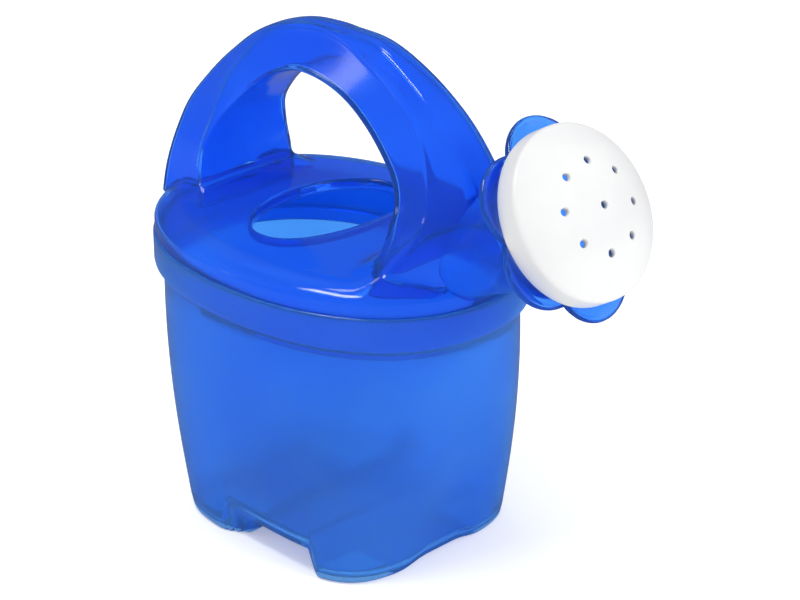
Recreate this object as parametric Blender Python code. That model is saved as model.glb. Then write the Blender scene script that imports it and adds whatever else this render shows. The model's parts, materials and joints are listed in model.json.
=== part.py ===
"""A small translucent watering can: tub, snapped-on cover with a hollow arch handle and a
trumpet spout, a ring of petals round the spout's mouth, and a push-on rose.

Metres, +Z up. +X is the way the spout points, and the can is symmetric about the XZ plane.
The origin is under the middle of the whole object, on the plane of the feet.
"""
import bpy
import bmesh
import math
from mathutils import Matrix, Vector

# ------------------------------------------------------------------ driving dimensions (mm)
MM = 0.001
SHIFT_X = -30.4       # tub centre along X, so that the whole object is centred on the origin
SEAM_Z = 115.4        # top of the tub's rim, where the cover starts
RIM_A = 80.0          # rim half length along X
RIM_B = 60.6          # rim half width along Y
RIM_N = 2.2           # how square the rim's oval is (2 is an ellipse)
RIM_BAND = 14.9       # height of the stepped rim band
RIM_STEP = 3.6        # how far the band stands out from the wall
FOOT_A = 54.2         # wall half length at the feet
FOOT_B = 48.4         # wall half width at the feet
FOOT_N = 3.6          # the base is squarer than the rim
FOOT_X = 1.8          # the base's centre, a little forward of the rim's
WALL = 1.6            # wall thickness of the tub and the cover
FLOOR_Z = 11.6        # inside face of the tub's floor
GAP = 0.4             # clearance between neighbouring pieces
DECK_RISE = 13.2      # deck above the seam
SHOULDER = 12.0       # shoulder width
FILL_A = 21.5         # fill opening half length along X
FILL_B = 35.0         # fill opening half width along Y
FILL_X = -4.5         # fill opening centre
ARCH_TOP = 87.6       # handle's top above the seam
HOLE_TOP = 68.0       # hand hole's top above the seam
SPOUT_TILT = 31.0     # spout axis above the horizontal, degrees
MOUTH_X = 120.5       # middle of the rose's rim wall, from the tub's centre
MOUTH_Z = 46.1        # and above the seam
HORN_ROOT_R = 18.5    # spout radius at the cover
HORN_MOUTH_R = 27.0   # spout radius at its mouth
PETAL_R = 38.0        # petal tip radius
PETALS = 6
ROSE_R = 32.2         # rose radius
ROSE_RIM = 8.4        # height of the rose's rim wall
ROSE_DOME = 10.6      # height of its dome
ROSE_WALL = 1.8
PLUG_R = 24.4         # rose's plug, which sits in the spout's mouth
PLUG_LENGTH = 11.0
SPRAY_RING = 16.5     # radius of the ring of spray holes
SPRAY_HOLE = 1.3      # spray hole radius
SPRAY_TURN = -9.0     # how far the rose is turned on the spout, degrees
AROUND = 56           # points round the tub and the cover


# ------------------------------------------------------------------ helpers
def clear_scene():
    for item in list(bpy.data.objects):
        bpy.data.objects.remove(item, do_unlink=True)


def plastic(name, colour, roughness):
    """One moulded plastic."""
    material = bpy.data.materials.new(name)
    material.use_nodes = True
    shader = material.node_tree.nodes["Principled BSDF"]
    shader.inputs["Base Color"].default_value = (*colour, 1.0)
    shader.inputs["Roughness"].default_value = roughness
    shader.inputs["Metallic"].default_value = 0.0
    material.diffuse_color = (*colour, 1.0)
    return material


def oval(half_x, half_y, power, z, centre_x=0.0, count=AROUND):
    """A level superellipse, counter-clockwise seen from above."""
    points = []
    for index in range(count):
        turn = 2.0 * math.pi * index / count
        c = math.cos(turn)
        s = math.sin(turn)
        x = half_x * math.copysign(abs(c) ** (2.0 / power), c)
        y = half_y * math.copysign(abs(s) ** (2.0 / power), s)
        points.append((centre_x + x, y, z))
    return points


def mesh_from_rings(name, rings, closed):
    """Bridge each ring to the next. A closed stack joins its last ring to its first,
    an open one is capped at both ends."""
    shape = bmesh.new()
    loops = []
    for ring in rings:
        loops.append([shape.verts.new(Vector(point) * MM) for point in ring])
    pairs = list(zip(loops, loops[1:]))
    if closed:
        pairs.append((loops[-1], loops[0]))
    for lower, upper in pairs:
        count = len(lower)
        for index in range(count):
            after = (index + 1) % count
            shape.faces.new((lower[index], lower[after], upper[after], upper[index]))
    if not closed:
        shape.faces.new(list(reversed(loops[0])))
        shape.faces.new(loops[-1])
    bmesh.ops.recalc_face_normals(shape, faces=shape.faces)
    mesh = bpy.data.meshes.new(name)
    shape.to_mesh(mesh)
    shape.free()
    item = bpy.data.objects.new(name, mesh)
    bpy.context.scene.collection.objects.link(item)
    return item


def turned(name, profile, count, place):
    """Turn a closed (radius, height) profile about local Z and place it."""
    rings = []
    for radius, height in profile:
        ring = []
        for index in range(count):
            turn = 2.0 * math.pi * index / count
            ring.append((radius * math.cos(turn), radius * math.sin(turn), height))
        rings.append(ring)
    item = mesh_from_rings(name, rings, True)
    item.data.transform(place)
    return item


def cut(item, cutter, operation="DIFFERENCE"):
    """Apply one exact Boolean and drop the cutter."""
    step = item.modifiers.new("cut", "BOOLEAN")
    step.operation = operation
    step.solver = "EXACT"
    step.object = cutter
    bpy.context.view_layer.update()
    view = item.evaluated_get(bpy.context.evaluated_depsgraph_get())
    result = bpy.data.meshes.new_from_object(view)
    item.modifiers.clear()
    item.data = result
    bpy.data.objects.remove(cutter, do_unlink=True)


def tidy(item, angle=32.0):
    """Make the facets triangles and shade them smooth."""
    shape = bmesh.new()
    shape.from_mesh(item.data)
    bmesh.ops.remove_doubles(shape, verts=shape.verts, dist=0.000001)
    bmesh.ops.triangulate(shape, faces=shape.faces)
    shape.to_mesh(item.data)
    shape.free()
    item.data.shade_smooth()
    item.data.set_sharp_from_angle(angle=math.radians(angle))


def blend(values, t):
    """Read a smooth curve through evenly spaced values, t from 0 to 1."""
    last = len(values) - 1
    place = min(max(t, 0.0), 1.0) * last
    index = min(int(place), last - 1)
    u = place - index
    before = values[max(index - 1, 0)]
    start = values[index]
    end = values[index + 1]
    after = values[min(index + 2, last)]
    a = 2.0 * start
    b = end - before
    c = 2.0 * before - 5.0 * start + 4.0 * end - after
    d = 3.0 * start - before - 3.0 * end + after
    return 0.5 * (a + b * u + c * u * u + d * u * u * u)


# ------------------------------------------------------------------ tub
def wall_ring(z, inset):
    """The tub's wall below the rim band, at height z."""
    t = z / (SEAM_Z - RIM_BAND)
    half_x = FOOT_A + (RIM_A - RIM_STEP - FOOT_A) * t
    half_y = FOOT_B + (RIM_B - RIM_STEP - FOOT_B) * t
    power = FOOT_N + (RIM_N - FOOT_N) * t
    return oval(half_x - inset, half_y - inset, power, z, FOOT_X * (1.0 - t))


def make_tub():
    band_z = SEAM_Z - RIM_BAND
    rings = []
    # outside: rounded sole edge, tapered wall, stepped band
    rings.append(wall_ring(0.0, 5.0))
    rings.append(wall_ring(1.2, 1.8))
    rings.append(wall_ring(4.0, 0.0))
    for index in range(1, 7):
        rings.append(wall_ring(4.0 + (band_z - 4.0) * index / 6.0, 0.0))
    rings.append(oval(RIM_A - 1.0, RIM_B - 1.0, RIM_N, band_z + 1.6))
    rings.append(oval(RIM_A, RIM_B, RIM_N, band_z + 3.6))
    rings.append(oval(RIM_A, RIM_B, RIM_N, SEAM_Z - 0.8))
    rings.append(oval(RIM_A - 0.7, RIM_B - 0.7, RIM_N, SEAM_Z))
    # inside, back down
    rings.append(oval(RIM_A - WALL, RIM_B - WALL, RIM_N, SEAM_Z))
    rings.append(oval(RIM_A - WALL, RIM_B - WALL, RIM_N, band_z + 4.6))
    for index in range(6, 0, -1):
        rings.append(wall_ring(FLOOR_Z + 4.0 + (band_z - FLOOR_Z - 4.0) * index / 6.0, WALL))
    rings.append(wall_ring(FLOOR_Z + 4.0, WALL))
    rings.append(wall_ring(FLOOR_Z, WALL + 3.5))
    tub = mesh_from_rings("tub", rings, False)

    # the arches between the feet, side to side and front to back
    side = arch_cutter(-13.0, 34.0, 8.6, 90.0, False)
    cut(tub, side)
    front = arch_cutter(-17.0, 17.0, 4.2, 90.0, True)
    cut(tub, front)
    tidy(tub)
    return tub


def arch_cutter(low, high, height, reach, along_x):
    """A low arch under the base, cut right through."""
    outline = [(low - 6.0, -1.0), (high + 6.0, -1.0)]
    steps = 7
    for index in range(steps + 1):
        t = index / steps
        outline.append((high + 3.0 - 7.0 * t * t, height * math.sin(0.5 * math.pi * t)))
    for index in range(steps, -1, -1):
        t = index / steps
        outline.append((low - 3.0 + 7.0 * t * t, height * math.sin(0.5 * math.pi * t)))
    near = []
    far = []
    for u, z in outline:
        if along_x:
            near.append((-reach, u, z))
            far.append((reach, u, z))
        else:
            near.append((u, -reach, z))
            far.append((u, reach, z))
    return mesh_from_rings("arch_cutter", [near, far], False)


# ------------------------------------------------------------------ cover
def cover_ring(step, offset):
    """The cover's outer skin from the skirt (0) over the shoulder (1) to the deck (2)."""
    if step <= 1.0:
        turn = step * 0.5 * math.pi
        inset = SHOULDER * (1.0 - math.cos(turn)) + offset
        z = SEAM_Z + 4.5 + (DECK_RISE - 6.5) * math.sin(turn) - offset
        return oval(RIM_A - 0.8 - inset, RIM_B - 0.8 - inset, RIM_N, z)
    t = step - 1.0
    outer = oval(RIM_A - 0.8 - SHOULDER, RIM_B - 0.8 - SHOULDER, RIM_N, 0.0)
    inner = oval(FILL_A - offset, FILL_B - offset, 2.1, 0.0, FILL_X)
    z = SEAM_Z + 4.5 + (DECK_RISE - 6.5) + 2.0 * t - offset
    return [(a[0] + (b[0] - a[0]) * t, a[1] + (b[1] - a[1]) * t, z) for a, b in zip(outer, inner)]


def cover_solid(name, grow):
    """The cover's filled outer shape, grown by a clearance, for trimming its neighbours."""
    rings = [oval(RIM_A - 0.8 + grow, RIM_B - 0.8 + grow, RIM_N, SEAM_Z - 30.0)]
    for index in range(0, 9):
        rings.append([(x, y, z) for x, y, z in cover_ring(index / 8.0, -grow)])
    rings.append(cover_ring(1.5, -grow))
    rings.append(cover_ring(2.0, -grow))
    return mesh_from_rings(name, rings, False)


def make_cover():
    rings = [oval(RIM_A - 0.8, RIM_B - 0.8, RIM_N, SEAM_Z + GAP)]
    for index in range(0, 9):
        rings.append(cover_ring(index / 8.0, 0.0))
    rings.append(cover_ring(1.5, 0.0))
    rings.append(cover_ring(2.0, 0.0))
    # collar turned down round the fill opening
    deck_z = SEAM_Z + DECK_RISE
    rings.append(oval(FILL_A - 0.2, FILL_B - 0.2, 2.1, deck_z - 4.2, FILL_X))
    rings.append(oval(FILL_A + 1.4, FILL_B + 1.4, 2.1, deck_z - 4.2, FILL_X))
    rings.append(oval(FILL_A + 1.8, FILL_B + 1.8, 2.1, deck_z - WALL - 0.2, FILL_X))
    rings.append(cover_ring(1.5, WALL))
    for index in range(8, -1, -1):
        rings.append(cover_ring(index / 8.0, WALL))
    # tongue that snaps into the tub's rim
    tongue = WALL + GAP
    rings.append(oval(RIM_A - tongue - WALL, RIM_B - tongue - WALL, RIM_N, SEAM_Z - 7.0))
    rings.append(oval(RIM_A - tongue, RIM_B - tongue, RIM_N, SEAM_Z - 7.0))
    rings.append(oval(RIM_A - tongue, RIM_B - tongue, RIM_N, SEAM_Z + GAP))
    return mesh_from_rings("cover", rings, True)


# ------------------------------------------------------------------ handle
ROOF_X = (-79.5, -79.0, -72.0, -55.0, -30.0, -1.0, 27.0, 50.0, 67.0, 77.0, 80.0)
ROOF_Z = (3.0, 30.0, 47.0, 64.0, 80.0, 87.6, 84.0, 72.5, 57.0, 40.0, 3.0)
ROOF_Y = (19.0, 11.5, 8.5, 6.6, 5.0, 4.0, 4.4, 5.6, 7.0, 9.0, 13.0)
EDGE_X = (-74.0, -72.0, -62.0, -46.0, -26.0, -1.0, 22.0, 43.0, 58.0, 66.5, 68.0)
EDGE_Z = (3.0, 30.0, 47.0, 62.0, 78.0, 85.6, 80.5, 70.0, 56.0, 38.0, 3.0)
EDGE_Y = (26.0, 16.0, 12.5, 9.0, 7.2, 6.2, 7.4, 10.8, 14.0, 18.6, 28.0)
GRIP_X = (-47.0, -51.5, -46.5, -35.0, -20.0, -2.0, 16.0, 33.0, 46.0, 50.5, 46.0)
GRIP_Z = (3.0, 30.0, 43.5, 55.0, 65.0, 68.2, 64.5, 54.5, 43.0, 31.0, 3.0)
GRIP_Y = (36.0, 21.8, 17.2, 14.4, 12.4, 11.6, 12.4, 14.6, 17.4, 21.4, 36.0)


def handle_section(t, inset):
    """One cross-section of the arch: a narrow roof, flared sides and a ridged underside."""
    roof = Vector((blend(ROOF_X, t), blend(ROOF_Y, t), blend(ROOF_Z, t)))
    edge = Vector((blend(EDGE_X, t), blend(EDGE_Y, t), blend(EDGE_Z, t)))
    grip = Vector((blend(GRIP_X, t), blend(GRIP_Y, t), blend(GRIP_Z, t)))
    inward = Vector((grip.x - roof.x, 0.0, grip.z - roof.z))
    depth = inward.length
    inward.normalize()
    ridge = Vector((grip.x, 0.0, grip.z)) - inward * 0.8
    if inset:
        roof = roof + inward * inset
        roof.y -= inset * 0.9
        edge = edge + inward * min(inset, depth * 0.3) * 0.7
        edge.y -= inset * 1.0
        grip = grip - inward * inset
        grip.y -= inset * 1.9
        ridge = ridge - inward * inset
    half = [roof, edge, grip]
    ring = [(p.x, -p.y, p.z + SEAM_Z) for p in half]
    ring.append((ridge.x, 0.0, ridge.z + SEAM_Z))
    ring.extend((p.x, p.y, p.z + SEAM_Z) for p in reversed(half))
    return ring


def handle_body(name, inset, start, end, count, hollow):
    """The arch from t start to end: filled, or as a tube open at both ends."""
    steps = [start + (end - start) * index / count for index in range(count + 1)]
    rings = [handle_section(t, inset) for t in steps]
    if hollow:
        rings.extend(handle_section(t, inset + WALL) for t in reversed(steps))
    return mesh_from_rings(name, rings, hollow)


# ------------------------------------------------------------------ spout, petals, rose
def spout_place():
    """Local Z runs out along the spout, local X points up across it."""
    tilt = math.radians(SPOUT_TILT)
    along = Vector((math.cos(tilt), 0.0, math.sin(tilt)))
    across = Vector((-math.sin(tilt), 0.0, math.cos(tilt)))
    side = along.cross(across)
    place = Matrix((across, side, along)).transposed().to_4x4()
    place.translation = Vector((MOUTH_X, 0.0, MOUTH_Z + SEAM_Z)) * MM
    return place


HORN_OUT = 9.4        # the horn's mouth, behind the middle of the rose's rim wall


def horn_profile(inner):
    """Spout radius from the root forward, as (radius, height) pairs."""
    root = -66.0
    mouth = -HORN_OUT
    steps = 12
    pairs = []
    for index in range(steps + 1):
        t = index / steps
        flare = max(0.0, (t - 0.3) / 0.7)
        smooth = flare * flare * (3.0 - 2.0 * flare)
        radius = HORN_ROOT_R + (HORN_MOUTH_R - HORN_ROOT_R) * smooth
        pairs.append((radius - inner, root + (mouth - root) * t))
    return pairs


def make_spout(place):
    outer = horn_profile(0.0)
    inner = horn_profile(WALL + 0.2)
    return turned("spout", outer + list(reversed(inner)), 48, place)


def make_petals(place):
    """A collar round the mouth with six rounded petals, cupped forward round the rose."""
    count = 96
    rings = []
    base = HORN_MOUTH_R + GAP
    for share, rise in ((0.0, -3.2), (0.35, -0.6), (0.8, 2.2), (1.0, 4.0)):
        rings.append(petal_ring(count, base, share, -HORN_OUT + rise))
    for share, rise in ((1.0, 5.2), (0.8, 3.7), (0.35, 1.0), (0.0, -1.0)):
        rings.append(petal_ring(count, base, share, -HORN_OUT + rise))
    petals = mesh_from_rings("petals", rings, True)
    petals.data.transform(place)
    return petals


def petal_ring(count, base, share, height):
    ring = []
    for index in range(count):
        turn = 2.0 * math.pi * index / count
        lobe = abs(math.cos(0.5 * PETALS * turn))
        tip = base + 2.6 + (PETAL_R - base - 2.6) * lobe ** 0.55
        radius = base + (tip - base) * share
        ring.append((radius * math.cos(turn), radius * math.sin(turn), height))
    return ring


def make_rose(place):
    """A domed cap on a plug, with one spray hole in the middle of a ring of eight."""
    half = 0.5 * ROSE_RIM
    profile = [(ROSE_R - ROSE_WALL, -half), (ROSE_R - 0.5, -half), (ROSE_R, -half + 0.8), (ROSE_R, half - 1.8)]
    sphere = (ROSE_R * ROSE_R + ROSE_DOME * ROSE_DOME) / (2.0 * ROSE_DOME)
    steps = 7
    edge = ROSE_R - 1.4
    for index in range(steps):
        radius = edge * math.cos(0.5 * math.pi * index / steps) ** 0.8
        drop = sphere - math.sqrt(sphere * sphere - radius * radius)
        profile.append((radius, half + ROSE_DOME - drop))
    profile.append((0.6, half + ROSE_DOME))
    profile.append((0.6, half + ROSE_DOME - ROSE_WALL))
    for index in range(steps - 1, -1, -1):
        radius = (edge - ROSE_WALL) * math.cos(0.5 * math.pi * index / steps) ** 0.8
        if radius > PLUG_R:
            continue
        drop = sphere - math.sqrt(sphere * sphere - radius * radius)
        profile.append((radius, half + ROSE_DOME - ROSE_WALL - drop))
    flat = half + 1.6
    profile.append((PLUG_R - ROSE_WALL, flat))
    profile.append((PLUG_R - ROSE_WALL, -half - PLUG_LENGTH))
    profile.append((PLUG_R, -half - PLUG_LENGTH))
    profile.append((PLUG_R, flat))
    profile.append((ROSE_R - ROSE_WALL, flat - 0.6))
    rose = turned("rose", profile, 64, Matrix())
    spots = [(0.0, 0.0)]
    for index in range(8):
        turn = math.radians(SPRAY_TURN + 45.0 * index)
        spots.append((SPRAY_RING * math.cos(turn), SPRAY_RING * math.sin(turn)))
    for u, v in spots:
        rings = []
        for z in (half + 1.0, half + ROSE_DOME + 4.0):
            ring = []
            for index in range(12):
                turn = 2.0 * math.pi * index / 12
                ring.append((u + SPRAY_HOLE * math.cos(turn), v + SPRAY_HOLE * math.sin(turn), z))
            rings.append(ring)
        cut(rose, mesh_from_rings("spray_cutter", rings, False))
    rose.data.transform(place)
    return rose


def bore_cutter(place):
    """The water's way from the cover into the horn."""
    reach = HORN_ROOT_R - WALL - 1.6
    rings = []
    for height in (-72.0, -30.0):
        ring = []
        for index in range(40):
            turn = 2.0 * math.pi * index / 40
            ring.append((reach * math.cos(turn), reach * math.sin(turn), height))
        rings.append(ring)
    item = mesh_from_rings("bore_cutter", rings, False)
    item.data.transform(place)
    return item


# ------------------------------------------------------------------ assembly
def main():
    clear_scene()
    blue = plastic("blue_plastic", (0.012, 0.075, 0.72), 0.16)
    white = plastic("white_plastic", (0.86, 0.86, 0.86), 0.38)
    place = spout_place()

    tub = make_tub()
    cover = make_cover()
    # the handle's legs open into the cover, and so does the spout
    cut(cover, handle_body("leg_cutter", WALL + 0.6, 0.0, 0.13, 4, False))
    cut(cover, handle_body("leg_cutter", WALL + 0.6, 0.87, 1.0, 4, False))
    cut(cover, bore_cutter(place))

    handle = handle_body("handle", 0.0, 0.02, 0.98, 40, True)
    cut(handle, cover_solid("cover_trim", GAP))
    cut(handle, bore_cutter(place))

    spout = make_spout(place)
    cut(spout, cover_solid("cover_trim", GAP))
    cut(spout, handle_body("handle_trim", -GAP, 0.6, 1.0, 16, False))

    petals = make_petals(place)
    rose = make_rose(place)

    for item in (cover, handle, spout, petals, rose):
        tidy(item)
    for item in (tub, cover, handle, spout, petals):
        item.data.materials.clear()
        item.data.materials.append(blue)
    rose.data.materials.clear()
    rose.data.materials.append(white)
    for item in (tub, cover, handle, spout, petals, rose):
        item.data.transform(Matrix.Translation((SHIFT_X * MM, 0.0, 0.0)))

    # the rose slides off along the spout, so its origin is on that axis
    seat = place.translation + Vector((SHIFT_X * MM, 0.0, 0.0))
    rose.data.transform(Matrix.Translation(-seat))
    rose.location = seat


main()
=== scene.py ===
# %% [markdown]
# # A see-through watering can
# The real can is three mouldings: a thin blue tub, a clear blue top (cover, hollow arch handle,
# spout and petals in one) snapped onto it, and a white rose pushed into the spout. The packed
# model is the frame: it gives every piece its place, its size and the way it moves. The pieces
# here are modelled in the same metres, on the same origin.

# %% Load the frame
import json
import math

import bpy
import numpy as np
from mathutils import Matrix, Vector
from mathutils.bvhtree import BVHTree
from mathutils.kdtree import KDTree


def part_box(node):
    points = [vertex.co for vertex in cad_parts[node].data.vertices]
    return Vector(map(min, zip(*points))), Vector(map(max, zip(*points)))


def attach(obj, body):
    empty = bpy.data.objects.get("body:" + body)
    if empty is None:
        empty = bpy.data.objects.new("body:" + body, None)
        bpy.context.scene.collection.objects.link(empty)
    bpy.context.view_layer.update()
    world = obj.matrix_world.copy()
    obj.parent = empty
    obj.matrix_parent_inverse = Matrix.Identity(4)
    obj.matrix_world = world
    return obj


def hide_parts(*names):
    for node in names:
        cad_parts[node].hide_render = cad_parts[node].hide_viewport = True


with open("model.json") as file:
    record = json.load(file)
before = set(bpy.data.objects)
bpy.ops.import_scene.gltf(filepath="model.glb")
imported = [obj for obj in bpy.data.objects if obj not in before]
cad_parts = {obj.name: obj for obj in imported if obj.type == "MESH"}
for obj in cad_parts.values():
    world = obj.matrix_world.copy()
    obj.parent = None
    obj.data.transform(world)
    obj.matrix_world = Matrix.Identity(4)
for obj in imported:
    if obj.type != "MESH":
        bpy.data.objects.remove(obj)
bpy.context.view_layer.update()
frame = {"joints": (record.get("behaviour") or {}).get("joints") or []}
scene = bpy.context.scene
MM = 0.001

# %% [markdown]
# The can's own numbers come from the frame: the rim's middle is the tub's middle, the seam is
# the tub's top edge, and the spout's axis is the axis that the rose slides on. All the shapes
# below are written in millimetres from the middle of the rim, so they read like a drawing.

# %% Key places on the can
tub_low, tub_high = (Vector(corner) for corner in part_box("tub"))
rim_x = 0.5 * (tub_low.x + tub_high.x)
seam_z = tub_high.z
rim_a = 0.5 * (tub_high.x - tub_low.x) / MM
rim_b = 0.5 * (tub_high.y - tub_low.y) / MM
origin = Vector((rim_x, 0.0, seam_z))
base_z = (tub_low.z - seam_z) / MM
pull = next(joint for joint in frame["joints"] if joint["name"] == "rose_pull")
spout_along = Vector(pull["axis"]).normalized()
spout_tilt = math.atan2(spout_along.z, spout_along.x)
print("rim half axes", round(rim_a, 2), round(rim_b, 2), "seam at", round(seam_z, 4),
      "spout tilt", round(math.degrees(spout_tilt), 1))

# %% [markdown]
# ## The camera
# A long lens from the front corner, a little above. It looks down on the deck and into the
# fill opening, and the spout comes towards it. A long lens stands far back, so the can's near
# and far sides are nearly the same size and its upright walls stay nearly parallel.

# %% Camera
aim = origin + Vector((33.6, 0.0, -14.45)) * MM
azimuth = math.radians(45.39)
elevation = math.radians(24.5)
distance = 0.9247
level = math.cos(elevation)
away = Vector((level * math.sin(azimuth), -level * math.cos(azimuth), math.sin(elevation)))
bpy.ops.object.camera_add(location=aim + away * distance)
camera = bpy.context.object
camera.name = "camera"
camera.rotation_euler = (-away).to_track_quat("-Z", "Y").to_euler()
camera.data.lens = 109.93
camera.data.sensor_width = 36.0
camera.data.clip_start = 0.01
scene.camera = camera
print("camera at", [round(value, 3) for value in camera.location])

# %% [markdown]
# ## Helpers for smooth moulded walls
# Nothing on this can is a box or a cylinder: each wall changes from oval to squarer as it goes
# down, or flares as it goes out. Extruding and scaling a primitive gives even steps, not these
# curves. So each wall is a grid primitive whose points are moved onto rings, as a sheet of clay
# is wrapped round a form. The sheet's two side edges are merged with Merge by Distance, the open
# ends are filled, and the normals are turned outward, so the result is one closed skin.

# %% Wrap a grid round a form
def deselect():
    for item in bpy.context.selected_objects:
        item.select_set(False)


def pick(item):
    deselect()
    item.select_set(True)
    bpy.context.view_layer.objects.active = item


def wrap(name, rings):
    """Model a closed skin from rings of points: a grid as wide as a ring and as long as the
    stack, with every point moved to its ring."""
    rings = np.asarray(rings, dtype=float)
    rows, around = rings.shape[0], rings.shape[1]
    deselect()
    bpy.ops.mesh.primitive_grid_add(x_subdivisions=around, y_subdivisions=rows - 1, size=1.0)
    skin = bpy.context.object
    skin.name = name
    skin.data.name = name
    flat = np.empty(len(skin.data.vertices) * 3)
    skin.data.vertices.foreach_get("co", flat)
    flat = flat.reshape(-1, 3)
    column = np.rint((flat[:, 0] + 0.5) * around).astype(int) % around
    row = np.rint((flat[:, 1] + 0.5) * (rows - 1)).astype(int)
    placed = rings[row, column] * MM + np.array(origin)
    skin.data.vertices.foreach_set("co", placed.ravel())
    skin.data.update()
    bpy.ops.object.mode_set(mode="EDIT")
    bpy.ops.mesh.select_all(action="SELECT")
    bpy.ops.mesh.remove_doubles(threshold=0.0000005)
    bpy.ops.mesh.select_all(action="DESELECT")
    bpy.ops.mesh.select_mode(type="EDGE")
    bpy.ops.mesh.select_non_manifold(extend=False, use_wire=False, use_multi_face=False,
                                     use_non_contiguous=False, use_verts=False)
    bpy.ops.mesh.edge_face_add()
    bpy.ops.mesh.select_all(action="SELECT")
    bpy.ops.mesh.normals_make_consistent(inside=False)
    bpy.ops.object.mode_set(mode="OBJECT")
    bpy.ops.object.transform_apply(location=True, rotation=True, scale=True)
    return skin


# %% [markdown]
# Two closed skins are joined, or one is cut from the other, with a Boolean modifier. The
# Manifold solver is quick and exact on closed skins.

# %% Join and cut
def combine(body, tool, operation):
    """Join a tool shape to a body, or take it away, and drop the tool."""
    pick(body)
    step = body.modifiers.new("combine", "BOOLEAN")
    step.operation = operation
    step.solver = "MANIFOLD"
    step.object = tool
    bpy.ops.object.modifier_apply(modifier=step.name)
    bpy.data.objects.remove(tool, do_unlink=True)


# %% [markdown]
# The ring used most is a superellipse, an oval whose power makes it squarer: 2 is an ellipse and
# 4 is a square with well rounded corners. The rim is near 2 and the base is near 4.

# %% Level ovals
def oval(half_x, half_y, power, z, centre_x=0.0, count=256):
    """A level superellipse: 2 is an ellipse, more is squarer."""
    turn = np.linspace(0.0, 2.0 * math.pi, count, endpoint=False)
    cosine, sine = np.cos(turn), np.sin(turn)
    x = centre_x + half_x * np.sign(cosine) * np.abs(cosine) ** (2.0 / power)
    y = half_y * np.sign(sine) * np.abs(sine) ** (2.0 / power)
    return np.stack([x, y, np.full(count, float(z))], axis=1)


def smooth_step(low, high, value):
    """A soft switch: 0 at one end of a range, 1 at the other, and level at both."""
    t = np.clip((value - low) / (high - low), 0.0, 1.0)
    return t * t * (3.0 - 2.0 * t)


# %% [markdown]
# A finished piece is shaded smooth except over sharp edges, and is given to its body, so that it
# moves with it.

# %% Finish a piece
def finish_piece(piece, body, nodes, angle=40.0):
    """Shade a piece smooth but for its sharp edges, and hand it to its body."""
    pick(piece)
    bpy.ops.object.shade_smooth_by_angle(angle=math.radians(angle))
    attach(piece, body)
    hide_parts(*nodes)
    triangles = sum(len(face.vertices) - 2 for face in piece.data.polygons)
    print(piece.name, "has", triangles, "triangles")


# %% [markdown]
# ## The tub
# One thin moulded wall: tapered, oval at the rim and squarer at the base, with a band that
# steps out under the seam. The floor rises in arches between four short feet, which is what
# keeps a thin floor from rocking. It could be turned on a spin, but a spin is always round. So
# it is a stack of rings that starts in the middle of the underside, runs out and up to the lip,
# and comes back down the inside, which gives the wall its real thickness. A see-through wall
# needs that: light has to go in one face and out of the other.

# %% Tub sizes, in millimetres
wall = 1.6
rim_power = 2.2
base_half_x, base_half_y, base_power = 54.0, 49.6, 4.2
base_shift = 3.0
wall_swell = 1.1
edge_round = 2.4
floor_inset = 5.0
foot_height = 11.0
band_height = 14.9
band_step = 3.6
print("tub tapers from", round(2.0 * rim_a, 1), "mm at the rim to", 2.0 * base_half_x,
      "mm at the base")


# %% Arches between the feet
rear_foot_side = (-8.0, -1.0)
front_foot_side = (31.0, 24.5)
end_arch = (22.0, 8.0)
end_arch_share = 0.2
flank, flank_round = 41.0, 0.17


def underside(x, y):
    """How far the base lifts off the ground. The feet are rounded where they face an arch."""
    rounded = flank_round * np.maximum(np.abs(y) - flank, 0.0) ** 2
    from_rear = smooth_step(rear_foot_side[0] - rounded, rear_foot_side[1] - rounded, x)
    from_front = smooth_step(front_foot_side[0] + rounded, front_foot_side[1] + rounded, x)
    ends = smooth_step(*end_arch, np.abs(y)) * end_arch_share
    return foot_height * np.maximum(from_rear * from_front, ends)


# %% Tapered wall
def wall_oval(z, inset):
    """The wall's outline at one height, from the base to just under the band."""
    t = (z - base_z) / (-band_height - base_z)
    swell = wall_swell * math.sin(math.pi * min(max(t, 0.0), 1.0))
    half_x = base_half_x + (rim_a - band_step - base_half_x) * t + swell
    half_y = base_half_y + (rim_b - band_step - base_half_y) * t + swell
    power = base_power + (rim_power - base_power) * t ** 0.8
    return oval(half_x - inset, half_y - inset, power, z, base_shift * (1.0 - t))


def wall_rings(bottom, top, inset, shares):
    """Rings of the wall between two heights. The lowest follow the arches."""
    edge = wall_oval(base_z, 0.0)
    lift = underside(edge[:, 0], edge[:, 1])
    rings = []
    for share in shares:
        ring = wall_oval(bottom + (top - bottom) * share, inset)
        ring[:, 2] += lift * (1.0 - share) ** 2
        rings.append(ring)
    return rings


# %% Floor of the tub
def floor_ring(share, inset, thickness):
    """A ring of the floor, at a share of the way out from its middle."""
    ring = wall_oval(base_z, inset)
    ring[:, :2] = ring[:, :2] * share + np.array([base_shift * (1.0 - share), 0.0])
    ring[:, 2] = base_z + thickness + underside(ring[:, 0], ring[:, 1])
    return ring


def outer_edge_rings():
    """The rounded edge from the underside into the wall."""
    rings = []
    for turn in np.linspace(0.0, 0.5 * math.pi, 9):
        ring = wall_oval(base_z, edge_round * (1.0 - math.sin(turn)))
        lift = underside(ring[:, 0], ring[:, 1])
        ring[:, 2] = base_z + lift + edge_round * (1.0 - math.cos(turn))
        rings.append(ring)
    return rings


def inner_edge_rings(round_out=4.0, round_up=4.4):
    """The hollow edge from the inside of the wall onto the floor."""
    edge = wall_oval(base_z, 0.0)
    lift = underside(edge[:, 0], edge[:, 1])
    rings = []
    for turn in np.linspace(0.5 * math.pi, 0.0, 8)[1:]:
        ring = wall_oval(base_z, wall + round_out * (1.0 - math.sin(turn)))
        ring[:, 2] = base_z + lift + wall + round_up * (1.0 - math.cos(turn))
        rings.append(ring)
    return rings


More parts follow.
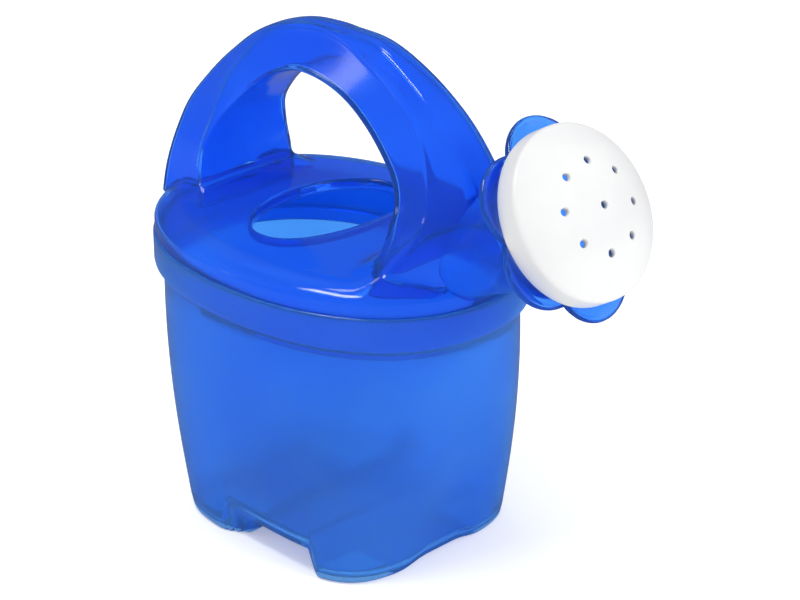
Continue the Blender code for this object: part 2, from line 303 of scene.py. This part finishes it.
# %% [markdown]
# The band and the lip are one short profile, written as steps in from the rim and heights from
# the seam: up the outside of the band, over the rounded lip, and down the inside.

# %% Band and lip
band_profile = ((3.3, -band_height), (2.2, -14.3), (0.9, -13.6), (0.25, -12.7), (0.0, -11.5),
                (0.0, -8.0), (0.0, -4.5), (0.0, -1.3), (0.12, -0.55), (0.45, -0.12), (0.8, 0.0),
                (1.1, -0.1), (1.45, -0.6), (wall, -1.5), (wall, -6.0), (wall, -11.6),
                (wall + 0.3, -13.2), (wall + 1.2, -14.6), (wall + 2.6, -15.6),
                (wall + 3.3, -16.3))


def level_rings(profile):
    """Level rings from steps in from the rim and heights from the seam."""
    return [oval(rim_a - inset, rim_b - inset, rim_power, z) for inset, z in profile]


# %% Stack the tub's rings
def make_tub():
    upward = np.linspace(0.0, 1.0, 30)[1:]
    downward = np.linspace(1.0, 0.0, 30)[1:]
    rings = [floor_ring(share, edge_round, 0.0) for share in np.linspace(0.0, 0.985, 44)]
    rings += outer_edge_rings()
    rings += wall_rings(base_z + edge_round, -band_height - 1.0, 0.0, upward)
    rings += level_rings(band_profile)
    rings += wall_rings(base_z + 6.0, -band_height - 3.0, wall, downward)
    rings += inner_edge_rings()
    rings += [floor_ring(share, floor_inset, wall) for share in np.linspace(0.98, 0.0, 40)]
    return wrap("tub_shell", rings)


tub = make_tub()
print("tub wall", wall, "mm thick, feet", foot_height, "mm high,", len(tub.data.vertices), "points")

# %% [markdown]
# ## The cover
# The skirt stands on the tub's lip, rolls over a big soft shoulder and runs in to a slightly
# domed deck. The fill opening in the deck has a collar turned down into the can, which stiffens
# its edge, and an apron inside the skirt laps into the tub. It is the same kind of ring stack:
# outside from the skirt to the opening, round the collar, and back under the deck.

# %% Cover sizes
skirt_inset = 0.7
skirt_rise = 4.6
shoulder = 13.0
deck_rise = 13.4
deck_crown = 2.4
fill_a, fill_b, fill_x = 21.5, 35.0, -4.5
fill_power = 2.1
fill_sag = 0.0012
apron = 4.4
print("deck", deck_rise, "mm above the seam, fill opening", 2.0 * fill_a, "by", 2.0 * fill_b, "mm")


# %% Shoulder and deck
def shoulder_ring(share, offset):
    """From the top of the skirt (0) over the shoulder to the deck (1). An offset gives the
    face under it."""
    turn = share * 0.5 * math.pi
    rise = deck_rise - deck_crown - skirt_rise
    slope = math.atan2(shoulder * math.sin(turn), rise * math.cos(turn))
    inset = skirt_inset + shoulder * (1.0 - math.cos(turn)) + offset * math.cos(slope)
    z = skirt_rise + rise * math.sin(turn) - offset * math.sin(slope)
    return oval(rim_a - inset, rim_b - inset, rim_power, z)


def deck_ring(share, offset):
    """From the shoulder (0) over the slightly domed deck to the fill opening (1)."""
    inset = skirt_inset + shoulder
    outer = oval(rim_a - inset, rim_b - inset, rim_power, 0.0)
    inner = oval(fill_a - offset, fill_b - offset, fill_power, 0.0, fill_x)
    ring = outer * (1.0 - share) + inner * share
    sag = fill_sag * ring[:, 1] ** 2 * share
    ring[:, 2] = deck_rise - deck_crown * (1.0 - share) ** 1.6 - sag - offset
    return ring


# %% Collar and apron
collar_profile = ((0.8, 0.05), (0.3, 0.35), (0.05, 0.9), (0.0, 2.0), (0.0, 4.0), (0.25, 4.5),
                  (0.8, 4.7), (1.3, 4.5), (1.5, 4.0), (1.6, 2.8))
apron_profile = ((skirt_inset + wall, 1.5), (apron - 1.2, -1.0), (apron + 0.2, -4.0),
                 (apron + wall, -9.0), (apron + 2.9, -17.6), (apron + 2.7, -18.7),
                 (apron + 2.1, -19.1), (apron + 1.4, -18.7), (apron + 1.1, -17.6),
                 (apron, -9.0), (apron - 1.4, -4.0), (apron - 2.6, -1.0), (1.9, 0.2))


def collar_rings():
    """The edge of the fill opening, as steps out from it and down from it."""
    rings = []
    lip = deck_ring(1.0, 0.0)
    for grow, drop in collar_profile:
        ring = oval(fill_a + grow, fill_b + grow, fill_power, 0.0, fill_x)
        ring[:, 2] = lip[:, 2] - drop
        rings.append(ring)
    return rings


# %% Stack the cover's rings
def make_cover():
    skirt = (0.35, *np.linspace(0.9, skirt_rise, 4)[:-1])
    rings = level_rings([(skirt_inset, z) for z in skirt])
    rings += [shoulder_ring(share, 0.0) for share in np.linspace(0.0, 1.0, 22)]
    rings += [deck_ring(share, 0.0) for share in np.linspace(0.0, 0.94, 30)[1:]]
    rings += collar_rings()
    rings += [deck_ring(share, wall) for share in np.linspace(0.9, 0.0, 20)[:-1]]
    rings += [shoulder_ring(share, wall) for share in np.linspace(1.0, 0.0, 22)]
    rings += level_rings(apron_profile)
    return wrap("top_shell", rings + rings[:1])


# %% [markdown]
# ## The arch handle
# A hollow arch with a narrow roof, a bevelled shoulder on each side, flared side walls and a
# tunnel underneath with a faint parting ridge. A fine ridge runs along the crease on each side,
# where the mould leaves a crisp line that catches the light. A curve with a bevel profile
# would keep one cross-section all the way, but this one widens into the deck at both feet. So
# three guide curves, roof, edge and grip, run from the rear foot to the front foot, and every
# cross-section hangs between them.

# %% Handle guide curves: along, half width, height
roof_guide = np.array([
    (-77.5, 24.4, 3), (-79.1, 20.9, 12.5), (-78.4, 19.1, 20), (-76.0, 16.6, 30.5),
    (-74.4, 11.0, 41.5), (-66.2, 7.9, 53.0), (-54.0, 6.5, 65), (-36.5, 5.5, 78), (-16, 4.3, 85.6),
    (6, 4.0, 86.95), (26, 4.4, 86.0), (44.6, 5.7, 77.9), (60.8, 6.6, 66.6), (71.3, 7.9, 54.6),
    (77.8, 9, 43), (79.4, 11, 31), (79.0, 14, 19), (75.6, 17, 11), (69, 20, 3)])
edge_guide = np.array([
    (-54.0, 25.0, 3), (-54.6, 24.8, 13), (-55.0, 24.0, 21), (-54.6, 22, 30.5),
    (-51.8, 17.6, 43.5), (-48.3, 14.2, 56.2), (-41.6, 11.7, 66.6), (-29, 8.2, 79.6),
    (-13, 6.5, 84.8), (5, 6.2, 85.8), (22, 7.6, 81.2), (38.5, 9.9, 73.6), (53.3, 12.4, 63.4),
    (62, 15, 52), (66.8, 18.6, 37.5), (65.5, 22.5, 27.5), (61.5, 28.5, 18.5), (57.0, 33.5, 12.0),
    (54, 37, 3)])
grip_guide = np.array([
    (-51.0, 25.2, 3), (-51.6, 24.9, 12.0), (-52.4, 24.0, 20.5), (-52.4, 22, 29.5),
    (-47.8, 17.7, 41.5), (-40, 15.2, 51), (-31, 13.6, 59), (-20.5, 12.3, 65.4),
    (-10, 11.7, 68.7), (4, 11.9, 67.9), (17, 12.6, 64), (29.5, 14, 57), (40.6, 16, 48.1),
    (47.3, 18, 41), (50.3, 20.6, 33), (49.4, 23.3, 26.5), (47.6, 25.6, 19), (46.4, 27.2, 12.0),
    (45.5, 28.5, 3)])
print("handle rises", round(roof_guide[:, 2].max(), 1), "mm above the seam")


# %% Read a guide curve
def along_guide(guide, t):
    """Read a smooth curve through evenly spaced stations."""
    last = len(guide) - 1
    place = min(max(t, 0.0), 1.0) * last
    index = min(int(place), last - 1)
    u = place - index
    before, start = guide[max(index - 1, 0)], guide[index]
    end, after = guide[index + 1], guide[min(index + 2, last)]
    return 0.5 * (2.0 * start + (end - before) * u
                  + (2.0 * before - 5.0 * start + 4.0 * end - after) * u * u
                  + (3.0 * start - before - 3.0 * end + after) * u ** 3)


# %% Round the corners of a cross-section
def bend(start, corner, end, u):
    """A point on the round curve that cuts a corner, from its start (0) to its end (1)."""
    return (1 - u) ** 2 * start + 2 * u * (1 - u) * corner + u * u * end


def rounded_loop(corners, radii, sides, beads, per_corner=9):
    """A closed outline with each corner rounded, and each side cut into short steps. A bead
    raises the middle of a corner into a fine moulded ridge."""
    longest_round = 0.45
    points = []
    count = len(corners)
    for index, corner in enumerate(corners):
        following = (index + 1) % count
        back = corners[index - 1] - corner
        ahead = corners[following] - corner
        back_length, ahead_length = np.linalg.norm(back), np.linalg.norm(ahead)
        back, ahead = back / back_length, ahead / ahead_length
        first = corner + back * min(radii[index], longest_round * back_length)
        second = corner + ahead * min(radii[index], longest_round * ahead_length)
        third = corners[following] - ahead * min(radii[following], longest_round * ahead_length)
        outward = -(back + ahead)
        outward = outward / max(np.linalg.norm(outward), 0.05)
        for u in np.linspace(0.0, 1.0, per_corner):
            rise = beads[index] * math.sin(math.pi * u) ** 3
            points.append(bend(first, corner, second, u) + outward * rise)
        for u in np.linspace(0.0, 1.0, sides[index] + 2)[1:-1]:
            points.append(second * (1 - u) + third * u)
    return np.array(points)


# %% Hang a cross-section between the guides
crown_rise = 0.5
ridge_drop = 0.7
bead_height = 0.4


def handle_corners(t, inset):
    """The eight corners of one cross-section. With an inset they are those of the hollow, and
    the narrow places move in further, so that the wall keeps its thickness."""
    roof = along_guide(roof_guide, t)
    edge = along_guide(edge_guide, t)
    grip = along_guide(grip_guide, t)
    inward = np.array([grip[0] - roof[0], 0.0, grip[2] - roof[2]])
    inward /= np.linalg.norm(inward)
    crown = np.array([roof[0], 0.0, roof[2]]) - inward * crown_rise
    ridge = np.array([grip[0], 0.0, grip[2]]) + inward * ridge_drop
    if inset:
        crown = crown + inward * inset
        roof = roof + inward * inset - np.array([0.0, inset * 0.55, 0.0])
        edge = edge + inward * inset * 0.45 - np.array([0.0, inset, 0.0])
        grip = grip - inward * inset - np.array([0.0, inset * 1.25, 0.0])
        ridge = ridge - inward * inset
    flip = np.array([1.0, -1.0, 1.0])
    return [crown, roof, edge, grip, ridge, grip * flip, edge * flip, roof * flip]


def handle_ring(t, inset):
    """One cross-section. Its corners are softer at the feet, and its beads end above them."""
    corners = handle_corners(t, inset)
    edge, grip = corners[2], corners[3]
    foot = float(smooth_step(34.0, 18.0, grip[2]))
    soft_grip, soft_edge = 1.8 + 5.0 * foot, 2.2 + foot
    radii = [2.0, 1.6, soft_edge, soft_grip, 3.0, soft_grip, soft_edge, 1.6]
    sides = [2, 4, 8, 8, 8, 8, 4, 2]
    bead = 0.0 if inset else bead_height * float(smooth_step(14.0, 24.0, edge[2]))
    return rounded_loop(corners, radii, sides, [0.0, 0.0, bead, 0.0, 0.0, 0.0, bead, 0.0])


def make_handle(name, inset, start, end):
    return wrap(name, [handle_ring(t, inset) for t in np.linspace(start, end, 150)])


# %% [markdown]
# ## The spout and its petals
# A short trumpet that grows out of the cover's front, egg-shaped at the root and round at the
# mouth, where it opens like a flower into six rounded petals with a rolled lip. It lies along
# the rose's sliding axis, so its rings are laid across that axis instead of level.

# %% Spout sizes
mouth = Vector((120.5, 0.0, 46.1))
spout_across = Vector((-math.sin(spout_tilt), 0.0, math.cos(spout_tilt)))
horn_root, horn_root_r = -52.0, 18.6
horn_end, horn_end_r = -9.4, 27.0
horn_foot, horn_tip = -60.0, -15.0
hollow_foot, hollow_tip = -66.0, 4.0
root_pinch, root_flat, root_corner = 0.22, 0.08, 0.05
petal_count = 6
petal_centre = 20.4
petal_tip = 38.0
petal_cup = 1.2
print("spout opens from", horn_root_r, "to", horn_end_r, "mm radius, petals reach", petal_tip, "mm")


# %% Rings across the spout
def across_spout(up, side, height):
    """Points laid across the spout's axis, at heights along it from the mouth."""
    height = np.broadcast_to(height, np.shape(up))
    base = np.array(mouth) + np.outer(height, np.array(spout_along))
    return base + np.outer(up, np.array(spout_across)) + np.outer(side, np.array((0.0, 1.0, 0.0)))


def spout_ring(radius, height, pinch=0.0, flat=0.0, corner=0.0, count=192):
    """A ring across the spout's axis. Pinch narrows its top, flat squashes it from above, and
    corner draws out its two lower corners."""
    corner_place, corner_width = 100.0, 16.0
    turn = np.linspace(0.0, 2.0 * math.pi, count, endpoint=False)
    from_top = np.degrees(np.minimum(turn, 2.0 * math.pi - turn))
    drawn_out = np.exp(-np.abs((from_top - corner_place) / corner_width) ** 1.5)
    radius = radius * (1.0 + corner * drawn_out)
    up = np.cos(turn) * radius * (1.0 - flat)
    side = np.sin(turn) * radius * (1.0 - pinch * np.clip(np.cos(turn), 0.0, 1.0) ** 1.5)
    return across_spout(up, side, height)


# %% Petal outline
def petal_reach(count=192):
    """Six round lobes: how far the petals' edge is from the axis, all the way round."""
    turn = np.linspace(0.0, 2.0 * math.pi, count, endpoint=False)
    sector = 2.0 * math.pi / petal_count
    off = (turn + 0.5 * sector) % sector - 0.5 * sector
    lobe = petal_tip - petal_centre
    return petal_centre * np.cos(off) + np.sqrt(lobe ** 2 - (petal_centre * np.sin(off)) ** 2)


# %% Trumpet profile
def horn_radius(height):
    """The trumpet widens slowly at the root and fast at the mouth."""
    t = min(max((height - horn_root) / (horn_end - horn_root), 0.0), 1.0)
    return horn_root_r + (horn_end_r - horn_root_r) * t ** 1.5


def root_share(height):
    """How much of the root's egg shape is left at a height: all (1) at the foot, none (0) above."""
    return 1.0 - min(max((height + 50.0) / 30.0, 0.0), 1.0)


# %% Petal profile: share of the way out, height
petal_back = ((0.08, 1.3), (0.18, 2.7), (0.3, 4.1), (0.44, 5.5), (0.58, 6.7), (0.7, 7.5),
              (0.8, 8.0), (0.88, 8.3), (0.94, 8.6), (0.98, 9.1))
petal_lip = ((1.0, 9.8), (0.995, 10.4), (0.97, 10.9), (0.93, 11.15), (0.89, 11.05),
             (0.85, 10.65), (0.8, 10.1))
petal_front = ((0.72, 9.5), (0.6, 8.7), (0.45, 7.7), (0.3, 6.5), (0.15, 5.2), (0.05, 4.2),
               (0.0, 3.8))


# %% Stack the spout's rings
def make_horn(name, inset, root, tip, petals):
    rings = []
    for height in np.linspace(root, tip, 40):
        share = root_share(height)
        rings.append(spout_ring(horn_radius(height) - inset, height, root_pinch * share,
                                root_flat * share, root_corner * share))
    if petals:
        reach = petal_reach()
        base = horn_radius(tip)
        cup = petal_cup * (reach - reach.min()) / (reach.max() - reach.min())
        for share, rise in petal_back + petal_lip + petal_front:
            rings.append(spout_ring(base + (reach - base) * share, tip + rise - share * cup))
    return wrap(name, rings)


# %% [markdown]
# ## One moulding out of three shapes
# On the real can the cover, the handle and the spout are one hollow skin, so a wall of one
# must never run on inside another. The outsides are joined first, as solids, and the insides are
# cut away after. Two more steps take off the look of stuck-together parts: the deck is lifted in
# a hollow where it meets the legs, and the join is smoothed with a Smooth modifier that fades
# out a few millimetres away, so the crisp lines further up keep their edge.

# %% Soften a join
def soften_join(body, first, second, reach, passes):
    """Fillet the line where two joined shapes meet: their common points, and those near
    them, are smoothed, less and less with the distance."""
    touching = 0.00003
    pick(body)
    on_both = []
    for vertex in body.data.vertices:
        if all(skin.find_nearest(vertex.co)[3] < touching for skin in (first, second)):
            on_both.append(vertex.co.copy())
    seam = KDTree(len(on_both))
    for index, place in enumerate(on_both):
        seam.insert(place, index)
    seam.balance()
    group = body.vertex_groups.new(name="join")
    for vertex in body.data.vertices:
        gap = seam.find(vertex.co)[2] / (reach * MM)
        if gap < 1.0:
            group.add([vertex.index], (1.0 - gap * gap) ** 1.5, "REPLACE")
    step = body.modifiers.new("soften", "SMOOTH")
    step.factor = 0.5
    step.iterations = passes
    step.vertex_group = group.name
    bpy.ops.object.modifier_apply(modifier=step.name)
    body.vertex_groups.clear()
    print(body.name, "softened round", len(on_both), "points of the join")


# %% Measure against a skin
def surface(body):
    """A skin that can be measured against."""
    mesh = body.data
    return BVHTree.FromPolygons([vertex.co.copy() for vertex in mesh.vertices],
                                [face.vertices[:] for face in mesh.polygons])


def is_inside(skin, place):
    """A point is inside a closed skin when a line up from it crosses the skin an odd number
    of times. Each look starts a hair above the last crossing."""
    hair = Vector((0.0, 0.0, 0.00001))
    crossings, start = 0, place.copy()
    while crossings < 9:
        hit = skin.ray_cast(start, Vector((0.0, 0.0, 1.0)))[0]
        if hit is None:
            break
        crossings += 1
        start = hit + hair
    return crossings % 2 == 1


# %% Lift the deck round the legs
fillet_side, fillet_end = 10.0, 2.0
fillet_rise = 0.45
rear_leg, front_leg = (-74.0, -60.0), (66.0, 54.0)


def fillet_deck(cover, leg_skin):
    """Lift the deck in a soft hollow where it runs up to the legs: most beside an upright wall,
    and hardly at all beside a wall that already leans out to meet it. It is wide along the
    legs' sides and narrow at the can's two ends, where the shoulder already falls away."""
    for vertex in cover.data.vertices:
        spot = (vertex.co - origin) / MM
        if spot.z < skirt_rise or spot.z > deck_rise + 1.0:
            continue
        between = float(smooth_step(*rear_leg, spot.x) * smooth_step(*front_leg, spot.x))
        reach = fillet_end + (fillet_side - fillet_end) * between
        normal, gap = leg_skin.find_nearest(vertex.co)[1::2]
        gap = 0.0 if is_inside(leg_skin, vertex.co) else gap / MM
        if gap < reach:
            upright = 1.0 - min(max(normal.z, 0.0), 1.0)
            vertex.co.z += fillet_rise * reach * upright * (1.0 - gap / reach) ** 2 * MM


# %% Join the outsides, then cut the insides
handle_wall = 1.5
join_reach, join_passes = 4.5, 24

top = make_cover()
handle_outer = make_handle("handle_outer", 0.0, 0.012, 0.988)
fillet_deck(top, surface(handle_outer))
cover_skin, handle_skin = surface(top), surface(handle_outer)
combine(top, handle_outer, "UNION")
soften_join(top, cover_skin, handle_skin, join_reach, join_passes)
combine(top, make_horn("horn_outer", 0.0, horn_foot, horn_tip, petals=True), "UNION")
combine(top, make_handle("handle_inner", handle_wall, 0.0, 1.0), "DIFFERENCE")
combine(top, make_horn("horn_inner", wall, hollow_foot, hollow_tip, petals=False), "DIFFERENCE")
print("top moulding has", len(top.data.vertices), "points")


# %% [markdown]
# ## The rose
# A shallow white dome on a short rim, with one spray hole in the middle of a ring of eight. A
# plug behind it fits the spout's mouth. It is round, so it is turned as one profile about the
# spout's axis. The holes are cut with small trumpets, so each has the soft dished edge that a
# mould pin leaves.

# %% Rose sizes
rose_r = 32.2
rose_rim = 8.4
rose_dome = 10.35
rose_wall = 1.8
rose_sphere = (rose_r ** 2 + rose_dome ** 2) / (2.0 * rose_dome)
plug_inner_r, plug_outer_r, plug_length = 21.6, 23.2, 11.0
spray_ring = 16.5
spray_hole = 1.4
spray_turn = 9.0
print("rose", 2.0 * rose_r, "mm across, domed to a radius of", round(rose_sphere, 1), "mm")


# %% Rose profile: radius, height
def dome_height(radius, drop=0.0):
    """The dome's height at a distance from the axis, or that of the face under it."""
    apex = 0.5 * rose_rim + rose_dome
    return apex - drop - (rose_sphere - math.sqrt(rose_sphere ** 2 - radius ** 2))


def rose_profile():
    """Up the rim, over its rounded edge and the dome, then back inside and round the plug."""
    half = 0.5 * rose_rim
    profile = [(rose_r - rose_wall, -half + 0.3), (rose_r - 1.6, -half), (rose_r - 0.6, -half),
               (rose_r - 0.15, -half + 0.15), (rose_r, -half + 0.6)]
    for z in np.linspace(-half + 1.4, half - 1.3, 6):
        profile.append((rose_r - 0.05 * (z + half) / rose_rim, z))
    start = np.array((rose_r - 0.05, half - 1.0))
    corner = np.array((rose_r - 0.05, half + 0.35))
    end = np.array((rose_r - 2.0, dome_height(rose_r - 2.0)))
    profile += [tuple(bend(start, corner, end, u)) for u in np.linspace(0.0, 1.0, 9)]
    profile += [(radius, dome_height(radius)) for radius in np.linspace(rose_r - 2.8, 0.0, 30)]
    profile += [(radius, dome_height(radius, rose_wall)) for radius in np.linspace(0.0, 21.0, 14)]
    roof = half + 1.6
    plug_end = -half - plug_length
    profile += [(plug_inner_r, roof + 0.4), (plug_inner_r, roof), (plug_inner_r, plug_end + 0.4),
                (plug_inner_r + 0.3, plug_end), (plug_outer_r - 0.4, plug_end),
                (plug_outer_r, plug_end + 0.5), (plug_outer_r, roof - 1.0),
                (plug_outer_r + 0.6, roof - 0.6), (rose_r - 2.6, roof - 0.6),
                (rose_r - rose_wall, roof - 1.4)]
    return profile + profile[:1]


# %% Spray holes
spray_profile = ((0.0, -6.0), (spray_hole, -6.0), (spray_hole, -0.45), (spray_hole + 0.12, -0.2),
                 (spray_hole + 0.45, 0.12), (spray_hole + 0.9, 1.0), (0.0, 1.0))


def spray_tool(u, v):
    """A small trumpet along the spout's axis. Its flared end leans with the dome."""
    from_axis = math.hypot(u, v)
    turn = np.linspace(0.0, 2.0 * math.pi, 28, endpoint=False)
    rings = []
    for reach, rise in spray_profile:
        up = u + reach * np.cos(turn)
        side = v + reach * np.sin(turn)
        lean = -(from_axis / rose_sphere) if rise > -1.0 else 0.0
        height = dome_height(from_axis) + rise + (np.hypot(up, side) - from_axis) * lean
        rings.append(across_spout(up, side, height))
    return wrap("spray_tool", rings)


# %% Turn the rose and cut its holes
def make_rose():
    rings = [spout_ring(radius, height, count=144) for radius, height in rose_profile()]
    cap = wrap("rose_cap", rings)
    combine(cap, spray_tool(0.0, 0.0), "DIFFERENCE")
    for index in range(8):
        turn = math.radians(spray_turn + 45.0 * index)
        tool = spray_tool(spray_ring * math.cos(turn), spray_ring * math.sin(turn))
        combine(cap, tool, "DIFFERENCE")
    return cap


rose = make_rose()
print("rose has 9 spray holes and", len(rose.data.vertices), "points")

# %% [markdown]
# ## Plastics
# Every finish here is one Principled shader with a little noise in its colour and its surface,
# on object coordinates, so that it stays on the piece when the piece moves.

# %% Shader helpers
def new_material(name):
    """A material with its shader, ready to be set."""
    material = bpy.data.materials.new(name)
    material.use_nodes = True
    return material, material.node_tree, material.node_tree.nodes["Principled BSDF"]


def noise_on_piece(tree, scale, detail, roughness):
    """Noise that reads the piece's own coordinates, so it stays on the piece."""
    place = tree.nodes.new("ShaderNodeTexCoord")
    noise = tree.nodes.new("ShaderNodeTexNoise")
    noise.inputs["Scale"].default_value = scale
    noise.inputs["Detail"].default_value = detail
    noise.inputs["Roughness"].default_value = roughness
    tree.links.new(place.outputs["Object"], noise.inputs["Vector"])
    return noise.outputs["Fac"]


def vary_colour(tree, shader, noise, first, second):
    """Let a colour drift between two near tones."""
    tint = tree.nodes.new("ShaderNodeValToRGB")
    tint.color_ramp.elements[0].position = 0.35
    tint.color_ramp.elements[0].color = first
    tint.color_ramp.elements[1].position = 0.65
    tint.color_ramp.elements[1].color = second
    tree.links.new(noise, tint.inputs["Fac"])
    tree.links.new(tint.outputs["Color"], shader.inputs["Base Color"])


def vary_surface(tree, shader, noise, strength, depth):
    """Let a surface rise and fall by a depth in metres."""
    bump = tree.nodes.new("ShaderNodeBump")
    bump.inputs["Strength"].default_value = strength
    bump.inputs["Distance"].default_value = depth
    tree.links.new(noise, bump.inputs["Height"])
    tree.links.new(bump.outputs["Normal"], shader.inputs["Normal"])


# %% [markdown]
# ## Blue plastic
# Tinted see-through polypropylene. Transmission lets light through, and the share left over is
# plain colour, which is what makes this plastic slightly milky. Light that crosses two walls is
# tinted twice, so the can is deeper in colour where its walls overlap, and lighter where only
# one wall is in the way. A faint wide bump stands for the uneven cooling of a thin moulding.
# The tub is thinner and milkier, so its gloss is softer. The top is clearer and shinier.

# %% Blue plastic
def make_blue(name, clear, rough, deep, light):
    material, tree, shader = new_material(name)
    shader.inputs["Roughness"].default_value = rough
    shader.inputs["IOR"].default_value = 1.46
    shader.inputs["Transmission Weight"].default_value = clear
    cloud = noise_on_piece(tree, scale=14.0, detail=2.0, roughness=0.5)
    vary_colour(tree, shader, cloud, deep, light)
    ripple = noise_on_piece(tree, scale=22.0, detail=1.0, roughness=0.4)
    vary_surface(tree, shader, ripple, strength=0.2, depth=0.0004)
    print(name, "lets through", clear, "of the light")
    return material


milky_blue = make_blue("milky_blue_plastic", clear=0.8, rough=0.16,
                       deep=(0.062, 0.32, 0.93, 1.0), light=(0.1, 0.4, 0.95, 1.0))
clear_blue = make_blue("clear_blue_plastic", clear=0.86, rough=0.08,
                       deep=(0.05, 0.26, 0.98, 1.0), light=(0.07, 0.32, 1.0, 1.0))


# %% [markdown]
# ## White plastic
# The rose is opaque polypropylene: an off-white that is never quite even, half glossy, with a
# fine grain from the mould.

# %% White plastic
def make_white(name, rough, first, second):
    material, tree, shader = new_material(name)
    shader.inputs["Roughness"].default_value = rough
    cloud = noise_on_piece(tree, scale=40.0, detail=3.0, roughness=0.5)
    vary_colour(tree, shader, cloud, first, second)
    grain = noise_on_piece(tree, scale=900.0, detail=2.0, roughness=0.5)
    vary_surface(tree, shader, grain, strength=0.08, depth=0.0001)
    return material


white = make_white("white_polypropylene", 0.38, (0.7, 0.7, 0.7, 1.0), (0.735, 0.735, 0.73, 1.0))
print("white plastic is", white.name)


# %% [markdown]
# ## A finish for each piece
# The tub takes the milky blue, the top moulding the clear blue and the rose the white. Each
# piece then rides on its body and stands for the CAD nodes that it covers.

# %% Give the pieces their finishes
for piece, material in ((tub, milky_blue), (top, clear_blue), (rose, white)):
    piece.data.materials.clear()
    piece.data.materials.append(material)
finish_piece(tub, "can", ["tub"])
finish_piece(top, "can", ["cover", "handle", "spout", "petals"], 30.0)
finish_piece(rose, "rose", ["rose"], 35.0)

# %% [markdown]
# ## Floor
# A plain white floor that glows a little, like lit paper. Clear plastic shows what is behind it
# and mirrors what is in front, so a white room washes the blue out. The floor and the room are
# therefore darker to mirror reflections only, as if dark cloths hung beside the camera.

# %% Floor
deselect()
bpy.ops.mesh.primitive_plane_add(size=6.0, location=(0.0, 0.0, 0.0))
floor = bpy.context.object
floor.name = "floor"
print("floor", [round(side, 1) for side in floor.dimensions[:2]], "m")


# %% Darker in reflections
def dim_in_reflections(tree, socket, plain, dim):
    """Give a socket one value for the eye and another for mirror reflections. A reflection is
    a ray that is both glossy and reflected: one that goes on through clear plastic is not."""
    path = tree.nodes.new("ShaderNodeLightPath")
    mirrored = tree.nodes.new("ShaderNodeMath")
    mirrored.operation = "MULTIPLY"
    tree.links.new(path.outputs["Is Glossy Ray"], mirrored.inputs[0])
    tree.links.new(path.outputs["Is Reflection Ray"], mirrored.inputs[1])
    choose = tree.nodes.new("ShaderNodeMix")
    choose.data_type = "RGBA" if socket.type == "RGBA" else "FLOAT"
    first, second, result = (6, 7, 2) if socket.type == "RGBA" else (2, 3, 0)
    tree.links.new(mirrored.outputs[0], choose.inputs["Factor"])
    choose.inputs[first].default_value = plain
    choose.inputs[second].default_value = dim
    tree.links.new(choose.outputs[result], socket)


# %% Paper of the floor
paper, paper_tree, paper_shader = new_material("studio_paper")
paper_shader.inputs["Roughness"].default_value = 0.9
paper_shader.inputs["Emission Color"].default_value = (1.0, 1.0, 1.0, 1.0)
dim_in_reflections(paper_tree, paper_shader.inputs["Base Color"], (0.93, 0.93, 0.93, 1.0),
                   (0.12, 0.13, 0.17, 1.0))
dim_in_reflections(paper_tree, paper_shader.inputs["Emission Strength"], 0.3, 0.04)
floor.data.materials.append(paper)
print("floor is", paper.name)


# %% [markdown]
# ## Lights
# One long softbox overhead draws the strip of light along the cover's shoulder, and two small
# strips glint on the handle's roof and side. The big soft ones only fill: they are hidden from
# mirror reflections, so they light the rose and the milky tub without drawing shapes on the
# gloss.

# %% Softboxes
def softbox(name, direction, reach, size_x, size_y, power, mirrored=True):
    """An area light that looks at the can from a direction. One that isn't mirrored lights the
    plastic without showing in its gloss."""
    direction = Vector(direction).normalized()
    bpy.ops.object.light_add(type="AREA", location=aim + direction * reach)
    lamp = bpy.context.object
    lamp.name = name
    lamp.data.shape = "RECTANGLE"
    lamp.data.size = size_x
    lamp.data.size_y = size_y
    lamp.data.energy = power
    lamp.rotation_euler = (-direction).to_track_quat("-Z", "Y").to_euler()
    lamp.visible_glossy = mirrored


softbox("overhead_softbox", (-0.12, -0.4, 0.91), 1.1, 0.5, 0.2, 4.5)
softbox("roof_strip", (-0.25, 0.06, 0.95), 1.2, 0.4, 0.14, 1.2)
softbox("left_strip", (-0.65, -0.73, 0.15), 1.2, 0.12, 0.05, 0.08)
softbox("left_softbox", (-0.66, -0.62, 0.5), 1.3, 0.8, 0.6, 2.2, mirrored=False)
softbox("back_softbox", (-0.6, 0.35, 0.95), 1.6, 1.0, 0.6, 2.0, mirrored=False)
softbox("front_softbox", (1.0, 0.25, 0.5), 1.6, 0.8, 0.5, 13.8, mirrored=False)

# %% [markdown]
# ## The room and the light paths
# An even white room fills the shadows. Light crosses up to a dozen faces in two walls and a
# handle, so the light paths are allowed many bounces through clear plastic.

# %% Room
studio = bpy.data.worlds.new("studio")
scene.world = studio
studio.use_nodes = True
room = studio.node_tree.nodes["Background"]
dim_in_reflections(studio.node_tree, room.inputs["Color"], (0.97, 0.98, 1.0, 1.0),
                   (0.16, 0.18, 0.23, 1.0))
room.inputs["Strength"].default_value = 0.55
scene.view_settings.view_transform = "Standard"

# %% Light paths
clear_bounces, glossy_bounces, diffuse_bounces = 24, 6, 4
scene.cycles.max_bounces = clear_bounces
scene.cycles.transmission_bounces = clear_bounces
scene.cycles.transparent_max_bounces = clear_bounces
scene.cycles.glossy_bounces = glossy_bounces
scene.cycles.diffuse_bounces = diffuse_bounces
print("room", studio.name, "with up to", clear_bounces, "bounces through clear plastic")
